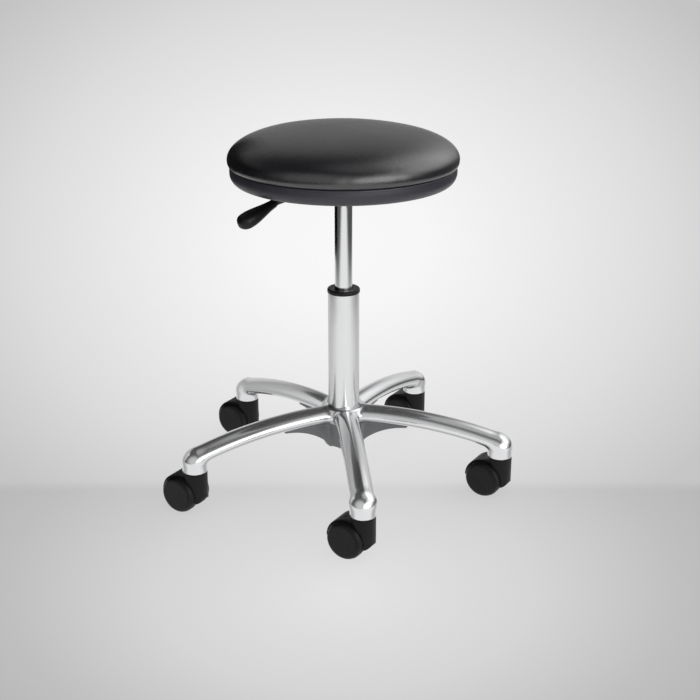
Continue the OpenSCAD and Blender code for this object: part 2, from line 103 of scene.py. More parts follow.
def maths(nt, op, a, b):
    n = nt.nodes.new("ShaderNodeMath")
    n.operation = op
    for i, v in enumerate((a, b)):
        if isinstance(v, (int, float)):
            n.inputs[i].default_value = v
        else:
            nt.links.new(v, n.inputs[i])
    return n.outputs[0]


def mix_rgb(nt, fac, a, b):
    n = nt.nodes.new("ShaderNodeMix")
    n.data_type = "RGBA"
    for i, v in ((0, fac), (6, a), (7, b)):
        if isinstance(v, (int, float)):
            n.inputs[i].default_value = v
        elif isinstance(v, tuple):
            n.inputs[i].default_value = (*v, 1)
        else:
            nt.links.new(v, n.inputs[i])
    return n.outputs[2]


def bump(nt, height, strength, distance, bsdf, below=None):
    b = add(nt, "ShaderNodeBump", Strength=strength, Distance=distance)
    nt.links.new(height, b.inputs["Height"])
    if below is not None:
        nt.links.new(below, b.inputs["Normal"])
    if bsdf is not None:
        nt.links.new(b.outputs["Normal"], bsdf.inputs["Normal"])
    return b.outputs["Normal"]


def smooth_step(nt, value, lo, hi):
    n = nt.nodes.new("ShaderNodeMapRange")
    n.interpolation_type = "SMOOTHSTEP"
    n.inputs["From Min"].default_value = lo
    n.inputs["From Max"].default_value = hi
    nt.links.new(value, n.inputs["Value"])
    return n.outputs["Result"]


# greys of the unpolished casting: partly the rougher finish left by the mould, partly painted shade under the
# legs, in the channels and round the hub
CAST_AND_SHADE_DARK, CAST_AND_SHADE_LIGHT, CAST_ROUGH = (0.14, 0.145, 0.15), (0.24, 0.245, 0.25), 0.42
HAZE_ROUGH = 0.52


def metal(name, colour, rough, rough_spread, wave=0.0, brushed=None, painted_edge_shade=None, cast_and_shade=None, haze=0.0):
    """Bare or plated metal: tone and roughness vary softly, with fine polishing lines and smudges.

    The edge ramp gives the tone by viewing angle, from face on to grazing, as painted shade: darker crescents that
    stand in for dark reflections. The attribute argument names a point attribute that is 1 where the metal is left
    unpolished from the mould and painted darker, partly for that finish and partly as painted shade under the
    legs. haze is the share of milky reflection.
    """
    m, nt, p = new_material(name)
    v = coords(nt)
    broad = noise(nt, v, 9.0, 3.0)
    smudge = noise(nt, v, 45.0, 5.0, 0.6)
    base = mix_rgb(nt, broad, tuple(c * 0.955 for c in colour), colour)
    # painted shade: the base tone is darkened by viewing angle, in crescents that stand in for dark reflections
    # near the edges
    if painted_edge_shade is not None:
        lw = add(nt, "ShaderNodeLayerWeight", Blend=0.5)
        base = mix_rgb(nt, ramp(nt, lw.outputs["Facing"], *painted_edge_shade), (0, 0, 0), base)
    p.inputs["Metallic"].default_value = 1.0
    spread = ramp(nt, smudge, (0.3, rough - rough_spread), (0.72, rough + rough_spread))
    normal = None
    if cast_and_shade is not None:
        cast_and_shade_mask = add(nt, "ShaderNodeAttribute", attribute_name=cast_and_shade).outputs["Fac"]
        skin = noise(nt, v, 420.0, 4.0, 0.65)
        # partly painted shade: darker grey where the casting is left unpolished, under the legs, in the channels
        # and round the hub
        base = mix_rgb(nt, cast_and_shade_mask, base, mix_rgb(nt, skin, CAST_AND_SHADE_DARK, CAST_AND_SHADE_LIGHT))
        spread = mix_rgb(nt, cast_and_shade_mask, spread, (CAST_ROUGH,) * 3)
        normal = bump(nt, maths(nt, "MULTIPLY", skin, cast_and_shade_mask), 0.6, 0.0003, None)
    nt.links.new(base, p.inputs["Base Color"])
    if brushed is not None:
        fine = noise(nt, coords(nt, brushed), 1.0, 2.0, 0.6)
        spread = maths(nt, "ADD", spread, maths(nt, "MULTIPLY", maths(nt, "SUBTRACT", fine, 0.5), 0.14))
        normal = bump(nt, fine, 0.10, 0.00006, p)
    nt.links.new(spread, p.inputs["Roughness"])
    if wave:
        bump(nt, noise(nt, v, 26.0, 1.0), 1.0, wave, p, normal)
    if haze:
        soft = add(nt, "ShaderNodeBsdfPrincipled", Metallic=1.0, Roughness=HAZE_ROUGH)
        nt.links.new(base, soft.inputs["Base Color"])
        both = add(nt, "ShaderNodeMixShader", Fac=haze)
        nt.links.new(p.outputs[0], both.inputs[1])
        nt.links.new(soft.outputs[0], both.inputs[2])
        nt.links.new(both.outputs[0], nt.nodes["Material Output"].inputs["Surface"])
    return m


def vinyl(name, dark, light, rough, spec=0.55, ior=1.5):
    """Black upholstery vinyl: pressed leather grain, soft sheen, faint rubbed patches."""
    m, nt, p = new_material(name)
    v = coords(nt)
    warp = add(nt, "ShaderNodeVectorMath", operation="ADD")
    wn = add(nt, "ShaderNodeTexNoise", Scale=420.0, Detail=2.0)
    nt.links.new(v, wn.inputs["Vector"])
    sc = add(nt, "ShaderNodeVectorMath", operation="SCALE")
    sc.inputs["Scale"].default_value = 0.0012
    nt.links.new(wn.outputs["Color"], sc.inputs[0])
    nt.links.new(v, warp.inputs[0])
    nt.links.new(sc.outputs[0], warp.inputs[1])
    cells = add(nt, "ShaderNodeTexVoronoi", Scale=760.0, feature="DISTANCE_TO_EDGE")
    nt.links.new(warp.outputs[0], cells.inputs["Vector"])
    grain = ramp(nt, cells.outputs["Distance"], (0.0, 0.0), (0.16, 0.8), (0.5, 1.0))
    patch = noise(nt, v, 7.0, 4.0, 0.55)
    fine = noise(nt, v, 1900.0, 2.0)
    base = mix_rgb(nt, patch, dark, light)
    crease = maths(nt, "SUBTRACT", 1.0, grain)
    # painted shade: the creases of the grain are darkened
    base = mix_rgb(nt, maths(nt, "MULTIPLY", crease, 0.35), base, (0.004, 0.004, 0.005))
    nt.links.new(base, p.inputs["Base Color"])
    r = maths(nt, "ADD", ramp(nt, patch, (0.25, rough - 0.03), (0.8, rough + 0.05)),
              maths(nt, "MULTIPLY", crease, 0.12))
    nt.links.new(r, p.inputs["Roughness"])
    p.inputs["Specular IOR Level"].default_value = spec
    p.inputs["IOR"].default_value = ior
    p.inputs["Sheen Weight"].default_value = 0.02
    p.inputs["Sheen Roughness"].default_value = 0.45
    low = bump(nt, noise(nt, v, 60.0, 2.0), 0.25, 0.0006, None)
    mid = bump(nt, grain, 0.22, 0.00012, None, low)
    bump(nt, fine, 0.12, 0.00004, p, mid)
    return m


def plastic(name, colour, rough, grain_scale=1300.0, grain=0.35, spec=0.5, wear=0.0):
    """Moulded plastic: spark-eroded texture, slight mottling, and edges rubbed a little lighter."""
    m, nt, p = new_material(name)
    v = coords(nt)
    mottle = noise(nt, v, 38.0, 4.0)
    base = mix_rgb(nt, mottle, tuple(c * 0.8 for c in colour), tuple(c * 1.25 for c in colour))
    if wear:
        geo = nt.nodes.new("ShaderNodeNewGeometry")
        rub = maths(nt, "MULTIPLY", ramp(nt, geo.outputs["Pointiness"], (0.5, 0.0), (0.56, 1.0)),
                    ramp(nt, noise(nt, v, 90.0, 5.0, 0.65), (0.4, 0.0), (0.7, 1.0)))
        base = mix_rgb(nt, maths(nt, "MULTIPLY", rub, wear), base, tuple(c * 5 + 0.02 for c in colour))
    nt.links.new(base, p.inputs["Base Color"])
    spread = ramp(nt, noise(nt, v, 70.0, 4.0), (0.3, rough - 0.05), (0.75, rough + 0.07))
    nt.links.new(spread, p.inputs["Roughness"])
    p.inputs["Specular IOR Level"].default_value = spec
    bump(nt, noise(nt, v, grain_scale, 2.0), grain, 0.00006, p)
    return m


def plywood(name):
    """Birch ply: grain rings on the faces, dark glue lines at the edge."""
    m, nt, p = new_material(name)
    v = coords(nt, (9, 60, 9))
    rings = add(nt, "ShaderNodeTexWave", Scale=2.0, Distortion=6.0, Detail=3.0)
    nt.links.new(v, rings.inputs["Vector"])
    layers = add(nt, "ShaderNodeTexWave", Scale=1.0, bands_direction="Z")
    nt.links.new(coords(nt, (1, 1, 130)), layers.inputs["Vector"])
    base = mix_rgb(nt, rings.outputs["Fac"], (0.42, 0.27, 0.14), (0.60, 0.43, 0.26))
    base = mix_rgb(nt, maths(nt, "MULTIPLY", layers.outputs["Fac"], 0.4), base, (0.25, 0.15, 0.08))
    nt.links.new(base, p.inputs["Base Color"])
    p.inputs["Roughness"].default_value = 0.7
    bump(nt, rings.outputs["Fac"], 0.3, 0.0002, p)
    return m


def foam_material(name):
    """Open-celled upholstery foam."""
    m, nt, p = new_material(name)
    v = coords(nt)
    cells = add(nt, "ShaderNodeTexVoronoi", Scale=900.0)
    nt.links.new(v, cells.inputs["Vector"])
    base = mix_rgb(nt, cells.outputs["Distance"], (0.72, 0.66, 0.46), (0.55, 0.48, 0.3))
    nt.links.new(base, p.inputs["Base Color"])
    p.inputs["Roughness"].default_value = 0.95
    bump(nt, cells.outputs["Distance"], 0.6, 0.0004, p)
    return m


def felt(name):
    """Spun-bonded under cover: pressed dot pattern and loose fibres."""
    m, nt, p = new_material(name)
    v = coords(nt)
    dots = add(nt, "ShaderNodeTexVoronoi", Scale=620.0, Randomness=0.0)
    nt.links.new(v, dots.inputs["Vector"])
    fibre = noise(nt, coords(nt, (1, 1.6, 1)), 900.0, 4.0, 0.7)
    base = mix_rgb(nt, fibre, (0.010, 0.010, 0.011), (0.035, 0.035, 0.037))
    nt.links.new(base, p.inputs["Base Color"])
    p.inputs["Roughness"].default_value = 0.9
    p.inputs["Sheen Weight"].default_value = 0.2
    low = bump(nt, dots.outputs["Distance"], 0.5, 0.0002, None)
    bump(nt, fibre, 0.6, 0.0002, p, low)
    return m


ALU = (0.90, 0.905, 0.915)
STEEL = (0.92, 0.925, 0.93)
# tones by viewing angle, from face on to grazing: painted shade, darker crescents that stand in for dark
# reflections at the edges of the legs, column and rod
LEG_PAINTED_SHADE = ((0.0, 1.0), (0.26, 1.0), (0.38, 0.62), (0.50, 0.50), (0.64, 0.80), (1.0, 0.90))
COLUMN_PAINTED_SHADE = ((0.0, 1.0), (0.12, 0.97), (0.24, 0.86), (0.38, 0.73), (0.5, 0.66), (1.0, 0.62))
ROD_PAINTED_SHADE = ((0.0, 1.0), (0.10, 1.0), (0.165, 0.90), (0.22, 0.82), (0.6, 0.80), (1.0, 0.9))
TURNED = (6, 6, 900)

mat_base = metal("polished_aluminium", ALU, 0.15, 0.03, wave=0.00012, painted_edge_shade=LEG_PAINTED_SHADE, cast_and_shade="as_cast_and_shade",
                 haze=0.20)
mat_column = metal("satin_chrome_tube", STEEL, 0.20, 0.04, brushed=TURNED, painted_edge_shade=COLUMN_PAINTED_SHADE)
mat_rod = metal("bright_chrome_rod", STEEL, 0.11, 0.03, brushed=TURNED, painted_edge_shade=ROD_PAINTED_SHADE)
mat_zinc = metal("zinc_steel", (0.62, 0.62, 0.63), 0.34, 0.08, brushed=(300, 300, 300))
mat_vinyl = vinyl("black_vinyl", (0.0040, 0.0035, 0.0058), (0.0068, 0.0062, 0.0090), 0.22,
                  spec=1.0, ior=1.6)
mat_band = vinyl("side_vinyl", (0.023, 0.021, 0.031), (0.033, 0.031, 0.043), 0.38, spec=0.70)
mat_bush = plastic("black_bush_plastic", (0.005, 0.005, 0.0055), 0.38, 900.0, 0.2, spec=0.3)
mat_grip = plastic("lever_plastic", (0.004, 0.004, 0.0045), 0.40, 1500.0, 0.25, spec=0.35, wear=0.25)
mat_hood = plastic("caster_hood_plastic", (0.004, 0.004, 0.0045), 0.48, 1100.0, 0.45,
                   spec=0.22, wear=0.15)
mat_wheel = plastic("caster_wheel_plastic", (0.0035, 0.0035, 0.004), 0.42, 1100.0, 0.35,
                    spec=0.24, wear=0.2)
mat_tyre = plastic("tread_plastic", (0.005, 0.005, 0.0055), 0.56, 700.0, 0.6, spec=0.2, wear=0.5)
mat_black_steel = plastic("powder_coated_steel", (0.015, 0.015, 0.016), 0.5, 500.0, 0.8)
mat_rubber = plastic("bump_rubber", (0.02, 0.02, 0.02), 0.8, 700.0, 0.5)
mat_ply = plywood("plywood")
mat_foam = foam_material("seat_foam")
mat_felt = felt("under_cover_felt")
mat_thread = plastic("black_thread", (0.02, 0.02, 0.022), 0.6, 2500.0, 0.9)

BY_SLOT = {
    "polished_aluminium": mat_base, "polished_steel": mat_column, "black_plastic": mat_bush,
    "black_gloss_plastic": mat_grip, "caster_plastic": mat_hood, "tread": mat_tyre,
    "plain_steel": mat_zinc, "black_steel": mat_black_steel, "seal_rubber": mat_rubber,
    "plywood": mat_ply, "foam": mat_foam, "black_vinyl": mat_vinyl, "black_felt": mat_felt,
}
SLOT_OF = {s["node"]: s["material_slot"] for s in frame["record"]["subparts"]}


# ---------------------------------------------------------------- CAD nodes

# bevel widths in millimetres, and the angle past which an edge is rounded
BEVELS = {"guide_bush": 2.9, "lever_grip": 4.6, "lever_rod": 0.5, "seat_plate": 0.8, "taper_socket": 0.6,
          "plate_screws": 0.4, "column_tube": 0.3, "gas_cylinder": 0.4, "lever_bracket": 0.4}
HOOD_BEVEL, SMALL_BEVEL = 1.1, 0.25
BEVEL_ANGLE = math.radians(32)
WELD = 2e-6


def dress(node):
    """Material, soft edges and smooth shading for a CAD node that is shown as it is."""
    o = frame["nodes"][node]
    mat = BY_SLOT[SLOT_OF[node]]
    if node == "gas_cylinder":
        mat = mat_rod
    if node.startswith("wheel_"):
        mat = mat_wheel
    o.data.materials.clear()
    o.data.materials.append(mat)
    for p in o.data.polygons:
        p.use_smooth = True
    width = BEVELS.get(node, HOOD_BEVEL if node.startswith("caster_hood") else SMALL_BEVEL)
    weld = o.modifiers.new("weld", "WELD")
    weld.merge_threshold = WELD
    b = o.modifiers.new("soft_edges", "BEVEL")
    b.width = width * MM
    b.segments = 6 if width > 2.5 else 4 if width > 0.9 else 2
    b.limit_method = "ANGLE"
    b.angle_limit = BEVEL_ANGLE
    b.use_clamp_overlap = True
    b.harden_normals = False
    w = o.modifiers.new("even_normals", "WEIGHTED_NORMAL")
    w.keep_sharp = False
    return o


for node in frame["nodes"]:
    dress(node)


# ---------------------------------------------------------------- mesh helpers

def mesh_object(name, verts, faces, mat):
    me = bpy.data.meshes.new(name)
    me.from_pydata([tuple(map(float, v)) for v in verts], [], faces)
    me.validate()
    me.update()
    o = bpy.data.objects.new(name, me)
    bpy.context.scene.collection.objects.link(o)
    me.materials.append(mat)
    for p in me.polygons:
        p.use_smooth = True
    return o


def get_co(me):
    co = np.empty(len(me.vertices) * 3)
    me.vertices.foreach_get("co", co)
    return co.reshape(-1, 3)


def set_co(me, co):
    me.vertices.foreach_set("co", np.ascontiguousarray(co, dtype=np.float32).ravel())
    me.update()


# ---------------------------------------------------------------- star base

# distances from the stool's axis (X, R) and heights (Z) in metres; the sections run along a leg
LEGS = 5
STEM_R = Vector(joints["caster_swivel_1"]["pos_m"][:2]).length
SOCKET_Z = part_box("star_base")[0].z
SOCKET_R, SOCKET_DOME_Z = 0.020, 0.0845
STEM_BORE_R, STEM_BORE_Z = 0.0055, 0.098
ARC_R, ARC_X = 0.673, 0.049
ARC_Z = 0.126 - ARC_R
LEG_W, LEG_H = 0.0188, 0.0143
RIDGE = 1.62
CHANNEL_W, CHANNEL_DEEP = 0.011, 0.0075
CHANNEL_FROM, CHANNEL_TO = 0.062, 0.226
RIB_W, RIB_TO = 0.007, 0.108
RIB_ARC_R, RIB_ARC_X, RIB_ARC_Z = 0.110, 0.106, -0.004
HUB_R, HUB_LO, HUB_HI = 0.031, 0.072, 0.1375
HUB_BORE_R, HUB_BORE_Z = 0.02405, 0.073
HUB_BORE_WIDENS = 0.001 / 0.066


def smin(a, b, k):
    """Union of two distance fields with a fillet about k wide."""
    h = np.maximum(k - np.abs(a - b), 0.0) / k
    return np.minimum(a, b) - h * h * h * k / 6.0


def smax(a, b, k):
    """Intersection of two distance fields with a rounding about k wide."""
    return -smin(-a, -b, k)


def leg_field(x, y, z):
    """Distance to the leg that runs along +x: arched bar, channel under it, socket, stem bore and hub rib."""
    rise = np.hypot(x - ARC_X, z - ARC_Z) - ARC_R
    over = np.maximum(x - (STEM_R - 0.002), 0) + np.maximum(0.01 - x, 0)
    # the top is a soft ridge with flatter flanks, the lower half is round
    side, crest = np.sqrt(y * y + 1e-6) / LEG_W, np.maximum(rise, 0) / LEG_H
    section = (side ** RIDGE + crest ** RIDGE) ** (1 / RIDGE)
    section = np.where(rise > 0, section, np.hypot(side, rise / LEG_H))
    leg = (np.hypot(section, over / 0.015) - 1.0) * 0.0150
    groove = smax(np.abs(y) - CHANNEL_W, rise - CHANNEL_DEEP, 0.004)
    groove = smax(groove, np.maximum(CHANNEL_FROM - x, x - CHANNEL_TO), 0.006)
    leg = smax(leg, -groove, 0.003)
    r = np.hypot(x - STEM_R, y)
    up = np.maximum(z - SOCKET_DOME_Z, 0)
    socket = np.hypot(r, up) - SOCKET_R
    socket = smax(socket, SOCKET_Z - z, 0.003)
    leg = smin(leg, socket, 0.013)
    rib = smax(np.abs(y) - RIB_W, RIB_ARC_R - np.hypot(x - RIB_ARC_X, z - RIB_ARC_Z), 0.003)
    rib = smax(rib, np.maximum(np.maximum(rise, x - RIB_TO), np.maximum(0.025 - x, HUB_LO - z)), 0.002)
    leg = smin(leg, rib, 0.006)
    return smax(leg, -np.maximum(r - STEM_BORE_R, z - STEM_BORE_Z), 0.001)


def along_legs(x, y):
    """(distance along, distance across) for each leg in turn."""
    for i in range(LEGS):
        a = math.radians(-90 + 360 / LEGS * i)
        c, s = math.cos(a), math.sin(a)
        yield x * c + y * s, -x * s + y * c


def base_field(p):
    """Distance from each point to the casting's surface, negative inside."""
    x, y, z = p[:, 0], p[:, 1], p[:, 2]
    r = np.hypot(x, y)
    d = smax(r - HUB_R, np.maximum(z - HUB_HI, HUB_LO - z), 0.006)
    for along, across in along_legs(x, y):
        d = smin(d, leg_field(along, across, z), 0.012)
    bore = r - (HUB_BORE_R + HUB_BORE_WIDENS * (z - HUB_BORE_Z))
    return smax(d, -bore, 0.0015)


def gradient(field, p, h=0.0002):
    g = np.empty_like(p)
    for a in range(3):
        e = np.zeros(3)
        e[a] = h
        g[:, a] = (field(p + e) - field(p - e)) / (2 * h)
    return g


def project(field, p, rounds, cap=0.002):
    """Points moved onto the field's surface, by at most cap in each round."""
    for _ in range(rounds):
        f = field(p)
        g = gradient(field, p)
        step = f[:, None] * g / np.maximum((g * g).sum(1), 0.05)[:, None]
        n = np.linalg.norm(step, axis=1)
        step *= np.minimum(1.0, cap / np.maximum(n, 1e-12))[:, None]
        p = p - step
    return p


def remeshed(source, name, voxel, mat):
    """A closed even mesh of an object's rest shape."""
    me = source.data.copy()
    o = bpy.data.objects.new(name, me)
    bpy.context.scene.collection.objects.link(o)
    w = o.modifiers.new("weld", "WELD")
    w.merge_threshold = WELD
    r = o.modifiers.new("even", "REMESH")
    r.mode = "VOXEL"
    r.voxel_size = voxel
    dg = bpy.context.evaluated_depsgraph_get()
    even = bpy.data.meshes.new_from_object(o.evaluated_get(dg), depsgraph=dg)
    even.name = name
    o.modifiers.clear()
    o.data = even
    even.materials.clear()
    even.materials.append(mat)
    return o


def relax(me, field, rounds):
    """Slide the points along the surface until the faces are even."""
    for _ in range(rounds):
        bm = bmesh.new()
        bm.from_mesh(me)
        bmesh.ops.smooth_vert(bm, verts=bm.verts, factor=0.5,
                              use_axis_x=True, use_axis_y=True, use_axis_z=True)
        bm.to_mesh(me)
        bm.free()
        set_co(me, project(field, get_co(me), 2))


def polished(o, field, rounds=3):
    """Lay a remeshed object exactly on its field, with the field's own normals."""
    me = o.data
    set_co(me, project(field, get_co(me), 8))
    relax(me, field, rounds)
    for p in me.polygons:
        p.use_smooth = True
    g = gradient(field, get_co(me))
    g /= np.maximum(np.linalg.norm(g, axis=1), 1e-9)[:, None]
    me.normals_split_custom_set_from_vertices([tuple(n) for n in g])
    return o


def cast_and_shade_share(co):
    """1 on the ribs, in the channels and round the hub's lower half, 0 on the polished legs: where the casting is
    left unpolished and is painted darker, partly for that finish and partly as shade.
    """
    share = np.zeros(len(co))
    for x, y in along_legs(co[:, 0], co[:, 1]):
        rise = np.hypot(x - ARC_X, co[:, 2] - ARC_Z) - ARC_R
        near = (np.abs(y) < 0.022) & (x > 0.02) & (x < STEM_R - 0.021)
        below = np.clip((-0.0112 - rise) / 0.0016, 0, 1)
        channel = (np.abs(y) < CHANNEL_W + 0.0008) & (rise < CHANNEL_DEEP + 0.0015)
        channel &= x > CHANNEL_FROM - 0.002
        share = np.maximum(share, np.where(near, np.maximum(below, channel), 0))
    hub = (np.hypot(co[:, 0], co[:, 1]) < 0.036) & (co[:, 2] < 0.109)
    return np.maximum(share, hub)


VOXEL = 0.0016
star = polished(remeshed(frame["nodes"]["star_base"], "star_base_casting", VOXEL, mat_base), base_field)
# mask of the unpolished casting, which also carries painted shade under the legs, in the channels and round the
# hub
star.data.attributes.new("as_cast_and_shade", "FLOAT", "POINT").data.foreach_set(
    "value", cast_and_shade_share(get_co(star.data)).astype(np.float32))
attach(star, "base")
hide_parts("star_base")


# ---------------------------------------------------------------- padded seat

cover_lo, cover_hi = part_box("seat_cover")
band_lo, band_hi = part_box("seat_band")
SEAT_R = (cover_hi.x - cover_lo.x) / 2
BAND_R = (band_hi.x - band_lo.x) / 2
SEAM_Z = cover_lo.z
WIDE_Z = band_lo.z + 0.033
TOP_Z = cover_hi.z
CROWN_POWER = 2.3
# (inward, above the seam) where the crown turns in: straight down with a slight hollow, then the little
# roll that the stitching pulls up
CROWN_FOOT = ((0.0002, 0.0058), (0.0007, 0.0047), (0.0012, 0.0039), (0.0015, 0.0032), (0.0015, 0.0026),
              (0.0017, 0.0020), (0.0021, 0.0013), (0.0029, 0.0007), (0.0040, 0.0003), (0.0055, 0.0001),
              (0.0090, 0.0001))
COVER_GRID = 128
SEWN_FROM = 0.9
CLOTH_FRAMES = 20
MOST_BLOWN = 0.008
DETAIL_KEPT = 0.5
GATHER = 0.0003
FOAM_SAG = 0.0005


def curve_table(points):
    """The points, and each one's share of the curve's length."""
    p = np.array(points, float)
    s = np.concatenate([[0], np.cumsum(np.hypot(*np.diff(p, axis=0).T))])
    return p, s / s[-1]


def crown_profile(drop=0.0, shrink=0.0):
    """(radius, height) from the crown's centre out and down to the seam, tucked in behind the edge."""
    a, b = SEAT_R - shrink, TOP_Z - WIDE_Z - drop
    pts = []
    for t in np.linspace(90, 0, 90):
        c, s = math.cos(math.radians(t)), math.sin(math.radians(t))
        pts.append((a * max(c, 0) ** (2 / CROWN_POWER), WIDE_Z + b * max(s, 0) ** (2 / CROWN_POWER)))
    return pts + [(a - inward, SEAM_Z + above) for inward, above in CROWN_FOOT]


def disc_grid(n):
    """Square grid bent onto a disc: (radius share, angle) per point, and the quads."""
    uv, idx = [], {}
    for j in range(n + 1):
        for i in range(n + 1):
            x, y = 2 * i / n - 1, 2 * j / n - 1
            if x == 0 and y == 0:
                r, t = 0.0, 0.0
            elif abs(x) > abs(y):
                r, t = x, math.pi / 4 * y / x
            else:
                r, t = y, math.pi / 2 - math.pi / 4 * x / y
            idx[i, j] = len(uv)
            uv.append((abs(r), t + (math.pi if r < 0 else 0)))
    quads = [(idx[i, j], idx[i + 1, j], idx[i + 1, j + 1], idx[i, j + 1]) for j in range(n) for i in range(n)]
    return np.array(uv), quads


def lay_on(profile, uv):
    """The disc's points laid on a turned profile."""
    p, s = curve_table(profile)
    r = np.interp(uv[:, 0], s, p[:, 0])
    z = np.interp(uv[:, 0], s, p[:, 1])
    return np.column_stack([r * np.cos(uv[:, 1]), r * np.sin(uv[:, 1]), z])


def soft_noise(angle, seed, waves):
    """Smooth random wave round a circle, made of the given numbers of waves."""
    rng = np.random.default_rng(seed)
    out = np.zeros_like(angle)
    for k in waves:
        out += rng.normal() * np.cos(k * angle + rng.uniform(0, 2 * math.pi)) / len(waves) ** 0.5
    return out


def blown(o, start, edge):
    """The cover's points after its cloth is sewn down at the edge and pressed out from inside."""
    pins = o.vertex_groups.new(name="sewn")
    for i, e in enumerate(edge):
        if e > SEWN_FROM:
            pins.add([i], float(min(1.0, (e - SEWN_FROM) / 0.08)), "REPLACE")
    c = o.modifiers.new("cloth", "CLOTH")
    s = c.settings
    s.quality = 6
    s.mass = 0.5
    s.tension_stiffness = 40
    s.compression_stiffness = 40
    s.shear_stiffness = 20
    s.bending_stiffness = 8
    s.use_pressure = True
    s.uniform_pressure_force = 4
    s.vertex_group_mass = "sewn"
    s.effector_weights.gravity = 0
    c.collision_settings.use_self_collision = False
    scene = bpy.context.scene
    for f in range(1, CLOTH_FRAMES + 1):
        scene.frame_set(f)
    dg = bpy.context.evaluated_depsgraph_get()
    co = get_co(o.evaluated_get(dg).data).copy()
    o.modifiers.clear()
    scene.frame_set(1)
    move = co - start
    length = np.linalg.norm(move, axis=1)
    return start + move * np.minimum(1.0, MOST_BLOWN / np.maximum(length, 1e-9))[:, None]


def ring_mean(values, edge, width=600, end=80):
    """Each point's value averaged over the points that lie about as far out."""
    order = np.argsort(edge)
    v = values[order]
    padded = np.concatenate([np.full(width, v[:end].mean()), v, np.full(width, v[-end:].mean())])
    out = np.empty_like(values)
    out[order] = np.convolve(padded, np.ones(width) / width, "same")[width:-width]
    return out


def on_mean_profile(co, target, uv):
    """Keeps the pressed-out detail, and brings the mean profile back to the CAD crown."""
    edge = uv[:, 0]
    tr, tz = np.hypot(target[:, 0], target[:, 1]), target[:, 2]
    dr, dz = np.hypot(co[:, 0], co[:, 1]) - tr, co[:, 2] - tz
    keep = DETAIL_KEPT * (1 - np.clip((edge - 0.985) / 0.012, 0, 1))
    r = tr + (dr - ring_mean(dr, edge)) * keep
    z = tz + (dz - ring_mean(dz, edge)) * keep
    return np.column_stack([r * np.cos(uv[:, 1]), r * np.sin(uv[:, 1]), np.minimum(z, TOP_Z + 0.001)])


def build_cover():
    """Crowned top of the seat: vinyl blown up over the foam by cloth simulation."""
    uv, quads = disc_grid(COVER_GRID)
    edge = uv[:, 0]
    soft = lay_on(crown_profile(), uv)
    start = lay_on(crown_profile(drop=0.0035, shrink=0.0008), uv)
    o = mesh_object("seat_cushion_cover", start, quads, mat_vinyl)
    # the sewn edge gathers the cover a little unevenly
    gather = soft_noise(uv[:, 1], 7, range(17, 46)) * GATHER * np.clip((edge - 0.80) / 0.17, 0, 1)
    lean = np.column_stack([np.cos(uv[:, 1]), np.sin(uv[:, 1]), np.zeros(len(uv))])
    set_co(o.data, start + lean * gather[:, None])
    soft = on_mean_profile(blown(o, start, edge), soft, uv)
    # slight unevenness of a foam crown under stretched vinyl
    soft[:, 2] += soft_noise(uv[:, 1], 3, (2, 3, 5)) * FOAM_SAG * np.sin(np.pi * np.clip(edge * 1.15, 0, 1))
    set_co(o.data, soft)
    smooth(o)
    settle(o, "seat")
    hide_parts("seat_cover", "seat_foam")


def smooth(o):
    """One level of subdivision."""
    sub = o.modifiers.new("smooth", "SUBSURF")
    sub.levels = sub.render_levels = 1


def settle(o, body):
    """Ties a piece to the body it moves with."""
    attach(o, body)


def tube_faces(rings, sides, first=0):
    """Faces of a closed tube whose rings of points follow each other, with both ends capped."""
    faces = []
    for k in range(rings - 1):
        lower, upper = first + k * sides, first + (k + 1) * sides
        for q in range(sides):
            n = (q + 1) % sides
            faces.append((lower + q, lower + n, upper + n, upper + q))
    last = first + (rings - 1) * sides
    faces.append(tuple(first + q for q in range(sides - 1, -1, -1)))
    faces.append(tuple(last + q for q in range(sides)))
    return faces


def lathe(name, profile, segments, mat, wobble=None):
    """Turned shape from (radius, height) points; wobble gives each ring's own shifts by angle."""
    ang = np.linspace(0, 2 * math.pi, segments, endpoint=False)
    verts = []
    for k, (r, z) in enumerate(profile):
        rr = np.full(segments, r)
        zz = np.full(segments, z)
        if wobble is not None:
            dr, dz = wobble(k, ang)
            rr, zz = rr + dr, zz + dz
        verts.append(np.column_stack([rr * np.cos(ang), rr * np.sin(ang), zz]))
    verts = np.concatenate(verts)
    faces = []
    for k in range(len(profile) - 1):
        for i in range(segments):
            j = (i + 1) % segments
            lower, upper = k * segments, (k + 1) * segments
            faces.append((lower + i, lower + j, upper + j, upper + i))
    return mesh_object(name, verts, faces, mat)


def arc_points(cx, cz, r, a0, a1, n, high=None):
    """Arc in the (radius, height) plane from angle a0 to a1; an ellipse of half height `high` where given."""
    turns = np.radians(np.linspace(a0, a1, n))
    return [(cx + r * math.cos(t), cz + (high or r) * math.sin(t)) for t in turns]


BAND_SEGMENTS = 384
# quarter ellipse at the band's lower edge, which stays outside the board's corner
BAND_ROUND_R, BAND_ROUND_Z = 0.0135, 0.0158
# (inward, above the band's lower face) of the strip turned in under the board
BAND_LIP = ((0.0170, 0.0), (0.0190, 0.0), (0.0210, 0.0), (0.0228, 0.0), (0.0240, 0.0002), (0.0262, 0.0003))
PLEAT = 0.0006


